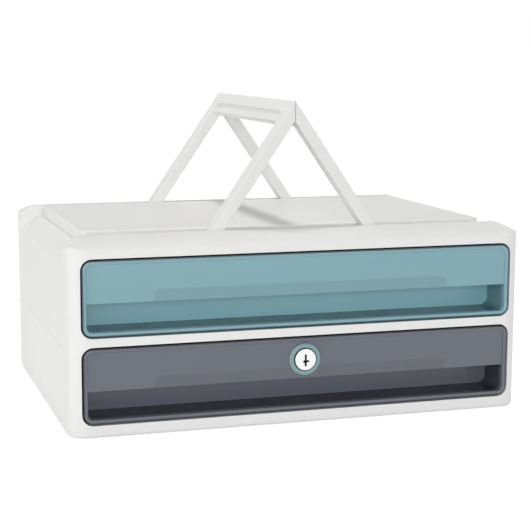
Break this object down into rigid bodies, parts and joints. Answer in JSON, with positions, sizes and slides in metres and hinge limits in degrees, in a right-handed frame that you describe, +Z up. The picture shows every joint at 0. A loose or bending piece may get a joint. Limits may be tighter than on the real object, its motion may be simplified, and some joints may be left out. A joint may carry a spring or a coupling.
{
  "type": "desk file box with drawers",
  "caption": "Desktop file box for A4 paper: a white casing with wide translucent drawers, one with a cam lock, and a two-part carrying handle that folds flat into the top.",
  "frame": {"origin": "on the surface that the box stands on, under the middle of the casing", "axes": "+X to the right of someone facing the drawers, +Y towards the back, +Z up"},
  "size_m": [0.34, 0.2562, 0.2311],
  "materials": {
    "casing": "fine satin moulded white",
    "handle": "fine satin moulded white, slightly grey",
    "teal": "translucent blue-green, smooth",
    "smoke": "translucent blue-grey, smooth",
    "teal_trim": "opaque blue-green",
    "lock_chrome": "polished plate",
    "dark_barrel": "dark zinc casting",
    "screw_steel": "zinc-plated",
    "nylon": "natural, waxy",
    "foot_rubber": "matte"
  },
  "bodies": {
    "casing": {"front_frame": "casing", "lower_casing": "casing", "upper_casing": "casing", "top_cover": "casing", "casing_screws": "screw_steel", "lock_keeper": "screw_steel", "keeper_screws": "screw_steel", "lower_left_glide_rail": "nylon", "lower_right_glide_rail": "nylon", "upper_left_glide_rail": "nylon", "upper_right_glide_rail": "nylon", "left_front_handle_pin": "screw_steel", "left_rear_handle_pin": "screw_steel", "right_front_handle_pin": "screw_steel", "right_rear_handle_pin": "screw_steel", "front_left_foot": "foot_rubber", "front_right_foot": "foot_rubber", "rear_left_foot": "foot_rubber", "rear_right_foot": "foot_rubber"},
    "lower_drawer": {"lower_drawer_front": "smoke", "lower_drawer_tray": "smoke", "lower_pocket_roof": "smoke", "lower_drawer_stops": "nylon", "lock_ring": "teal_trim", "lock_barrel": "dark_barrel", "lock_nut": "screw_steel"},
    "upper_drawer": {"upper_drawer_front": "teal", "upper_drawer_tray": "teal", "upper_pocket_roof": "teal", "upper_drawer_stops": "nylon"},
    "lock_cylinder": {"lock_plug": "lock_chrome", "lock_cam": "screw_steel", "cam_screw": "screw_steel"},
    "left_handle": {"left_bail": "handle"},
    "right_handle": {"right_bail": "handle"}
  },
  "joints": [
    {"name": "lower_drawer_slide", "type": "slide", "parent": "casing", "child": "lower_drawer", "axis": [0, -1, 0], "range_m": [0, 0.18]},
    {"name": "upper_drawer_slide", "type": "slide", "parent": "casing", "child": "upper_drawer", "axis": [0, -1, 0], "range_m": [0, 0.18]},
    {"name": "lock_turn", "type": "hinge", "parent": "lower_drawer", "child": "lock_cylinder", "pos_m": [0, -0.1107, 0.0483], "axis": [0, -1, 0], "range_deg": [0, 90]},
    {"name": "left_bail_fold", "type": "hinge", "parent": "casing", "child": "left_handle", "pos_m": [-0.05921, 0, 0.1373], "axis": [0, -1, 0], "range_deg": [0, 124.4]},
    {"name": "right_bail_fold", "type": "hinge", "parent": "casing", "child": "right_handle", "pos_m": [0.05921, 0, 0.1373], "axis": [0, 1, 0], "range_deg": [0, 124.4]}
  ]
}
